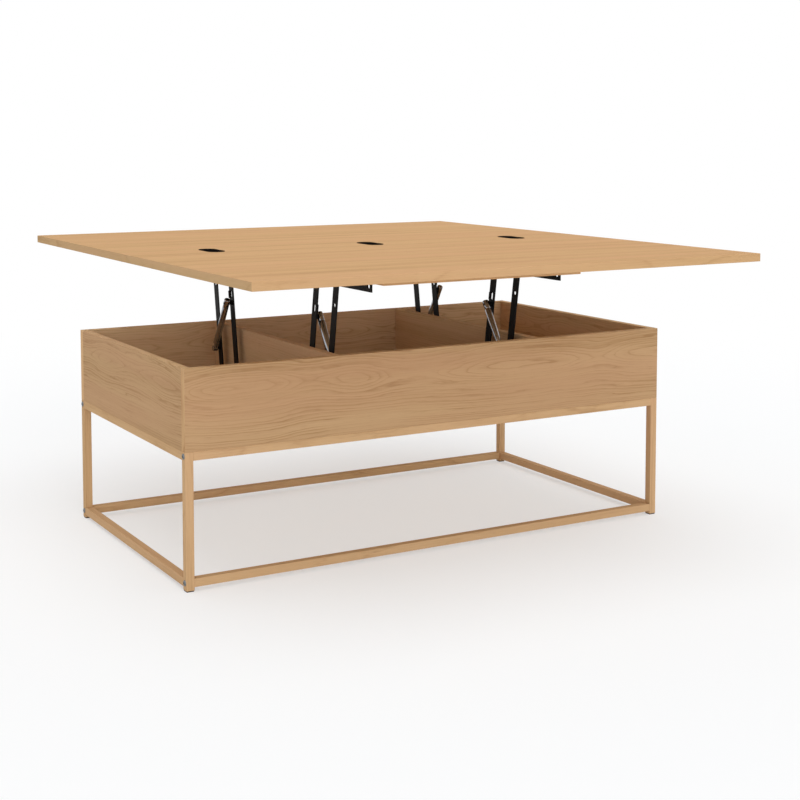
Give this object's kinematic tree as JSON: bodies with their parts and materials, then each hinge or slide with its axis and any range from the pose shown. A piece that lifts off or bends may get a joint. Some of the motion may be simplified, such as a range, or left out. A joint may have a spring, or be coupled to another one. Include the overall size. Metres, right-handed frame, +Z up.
{
  "type": "convertible coffee dining table",
  "caption": "Lift-top coffee table whose folded oak top rises on black scissor arms and opens like a book into a dining top, over an open divided storage box on a slim bar frame.",
  "frame": {"origin": "on the floor under the centre of the table, midway along and across the unfolded top", "axes": "+Z up, +X along the table's length, +Y from the front leaf to the back leaf"},
  "size_m": [1.1, 1.2112, 0.596],
  "materials": {
    "oak_leaf": "light oak, satin, straight grain",
    "oak_panel": "light oak, satin, cathedral grain",
    "oak_bar": "light oak, satin",
    "black_steel": "black, semi-matt",
    "strut_chrome": "polished",
    "bolt_zinc": "zinc plated",
    "foot_rubber": "matt"
  },
  "bodies": {
    "base": {"front_left_leg": "oak_bar", "front_right_leg": "oak_bar", "back_left_leg": "oak_bar", "back_right_leg": "oak_bar", "top_front_rail": "oak_bar", "top_back_rail": "oak_bar", "top_left_rail": "oak_bar", "top_right_rail": "oak_bar", "bottom_front_rail": "oak_bar", "bottom_back_rail": "oak_bar", "bottom_left_rail": "oak_bar", "bottom_right_rail": "oak_bar", "foot_pads": "foot_rubber", "frame_bolts": "bolt_zinc", "front_panel": "oak_panel", "back_panel": "oak_panel", "left_end_panel": "oak_panel", "right_end_panel": "oak_panel", "floor_panel": "oak_panel", "left_divider": "oak_panel", "right_divider": "oak_panel", "front_left_lift_base_bracket": "black_steel", "front_right_lift_base_bracket": "black_steel", "back_left_lift_base_bracket": "black_steel", "back_right_lift_base_bracket": "black_steel", "base_pivot_pins": "black_steel", "base_bracket_screws": "black_steel"},
    "front_lead_arms": {"front_left_lift_lead_arm": "black_steel", "front_right_lift_lead_arm": "black_steel"},
    "front_trail_arms": {"front_left_lift_trail_arm": "black_steel", "front_right_lift_trail_arm": "black_steel"},
    "front_top": {"front_leaf": "oak_leaf", "front_left_lift_top_bracket": "black_steel", "front_right_lift_top_bracket": "black_steel", "front_top_rivets": "black_steel", "front_bracket_screws": "black_steel", "stiffening_batten": "oak_panel", "front_hinge_cups": "black_steel", "front_hinge_pins": "black_steel", "front_hinge_screws": "black_steel"},
    "front_strut_tubes": {"front_left_lift_strut_tube": "strut_chrome", "front_right_lift_strut_tube": "strut_chrome"},
    "front_strut_rods": {"front_strut_rods": "strut_chrome"},
    "leaf_links": {"hinge_links": "black_steel"},
    "back_top": {"back_leaf": "oak_leaf", "back_hinge_cups": "black_steel", "back_hinge_pins": "black_steel", "back_hinge_screws": "black_steel"},
    "back_lead_arms": {"back_left_lift_lead_arm": "black_steel", "back_right_lift_lead_arm": "black_steel"},
    "back_trail_arms": {"back_left_lift_trail_arm": "black_steel", "back_right_lift_trail_arm": "black_steel"},
    "back_support": {"back_left_lift_top_bracket": "black_steel", "back_right_lift_top_bracket": "black_steel", "back_top_rivets": "black_steel"},
    "back_strut_tubes": {"back_left_lift_strut_tube": "strut_chrome", "back_right_lift_strut_tube": "strut_chrome"},
    "back_strut_rods": {"back_strut_rods": "strut_chrome"}
  },
  "joints": [
    {"name": "front_lift", "type": "hinge", "parent": "base", "child": "front_lead_arms", "pos_m": [0, -0.2085, 0.2835], "axis": [-1, 0, 0], "range_deg": [0, 76.1]},
    {"name": "front_trail_swing", "type": "hinge", "parent": "base", "child": "front_trail_arms", "pos_m": [0, -0.1245, 0.2835], "axis": [-1, 0, 0], "range_deg": [0, 76.11]},
    {"name": "front_top_level", "type": "hinge", "parent": "front_lead_arms", "child": "front_top", "pos_m": [0, -0.25246, 0.56104], "axis": [-1, 0, 0], "range_deg": [-76.11, 0]},
    {"name": "front_strut_swing", "type": "hinge", "parent": "front_trail_arms", "child": "front_strut_tubes", "pos_m": [0, -0.1536, 0.46721], "axis": [-1, 0, 0], "range_deg": [-30.94, 0]},
    {"name": "front_strut_slide", "type": "slide", "parent": "front_strut_tubes", "child": "front_strut_rods", "axis": [0, -0.5281, -0.8492], "range_m": [0, 0.06246]},
    {"name": "back_lift", "type": "hinge", "parent": "base", "child": "back_lead_arms", "pos_m": [0, 0.2085, 0.2835], "axis": [1, 0, 0], "range_deg": [0, 76.11]},
    {"name": "back_trail_swing", "type": "hinge", "parent": "base", "child": "back_trail_arms", "pos_m": [0, 0.1245, 0.2835], "axis": [1, 0, 0], "range_deg": [0, 76.11]},
    {"name": "back_support_level", "type": "hinge", "parent": "back_lead_arms", "child": "back_support", "pos_m": [0, 0.25246, 0.56104], "axis": [1, 0, 0], "range_deg": [-76.11, 0]},
    {"name": "back_strut_swing", "type": "hinge", "parent": "back_trail_arms", "child": "back_strut_tubes", "pos_m": [0, 0.1536, 0.46721], "axis": [1, 0, 0], "range_deg": [-30.94, 0]},
    {"name": "back_strut_slide", "type": "slide", "parent": "back_strut_tubes", "child": "back_strut_rods", "axis": [0, 0.5281, -0.8492], "range_m": [0, 0.06246]},
    {"name": "leaf_fold", "type": "hinge", "parent": "front_top", "child": "back_top", "pos_m": [0, 0, 0.59624], "axis": [1, 0, 0], "range_deg": [0, 180]},
    {"name": "hinge_link_turn", "type": "hinge", "parent": "front_top", "child": "leaf_links", "pos_m": [0, -0.0032, 0.59304], "axis": [1, 0, 0], "range_deg": [0, 90.01]}
  ],
  "couplings": [
    {"joint": "front_trail_swing", "follows": "front_lift", "ratio": 1},
    {"joint": "front_top_level", "follows": "front_lift", "ratio": -1},
    {"joint": "front_strut_swing", "follows": "front_lift", "ratio": -0.40642},
    {"joint": "front_strut_slide", "follows": "front_lift", "m_per_rad": 0.047017},
    {"joint": "back_lift", "follows": "front_lift", "ratio": 1},
    {"joint": "back_trail_swing", "follows": "front_lift", "ratio": 1},
    {"joint": "back_support_level", "follows": "front_lift", "ratio": -1},
    {"joint": "back_strut_swing", "follows": "front_lift", "ratio": -0.40642},
    {"joint": "back_strut_slide", "follows": "front_lift", "m_per_rad": 0.047017},
    {"joint": "hinge_link_turn", "follows": "leaf_fold", "ratio": 0.5}
  ]
}
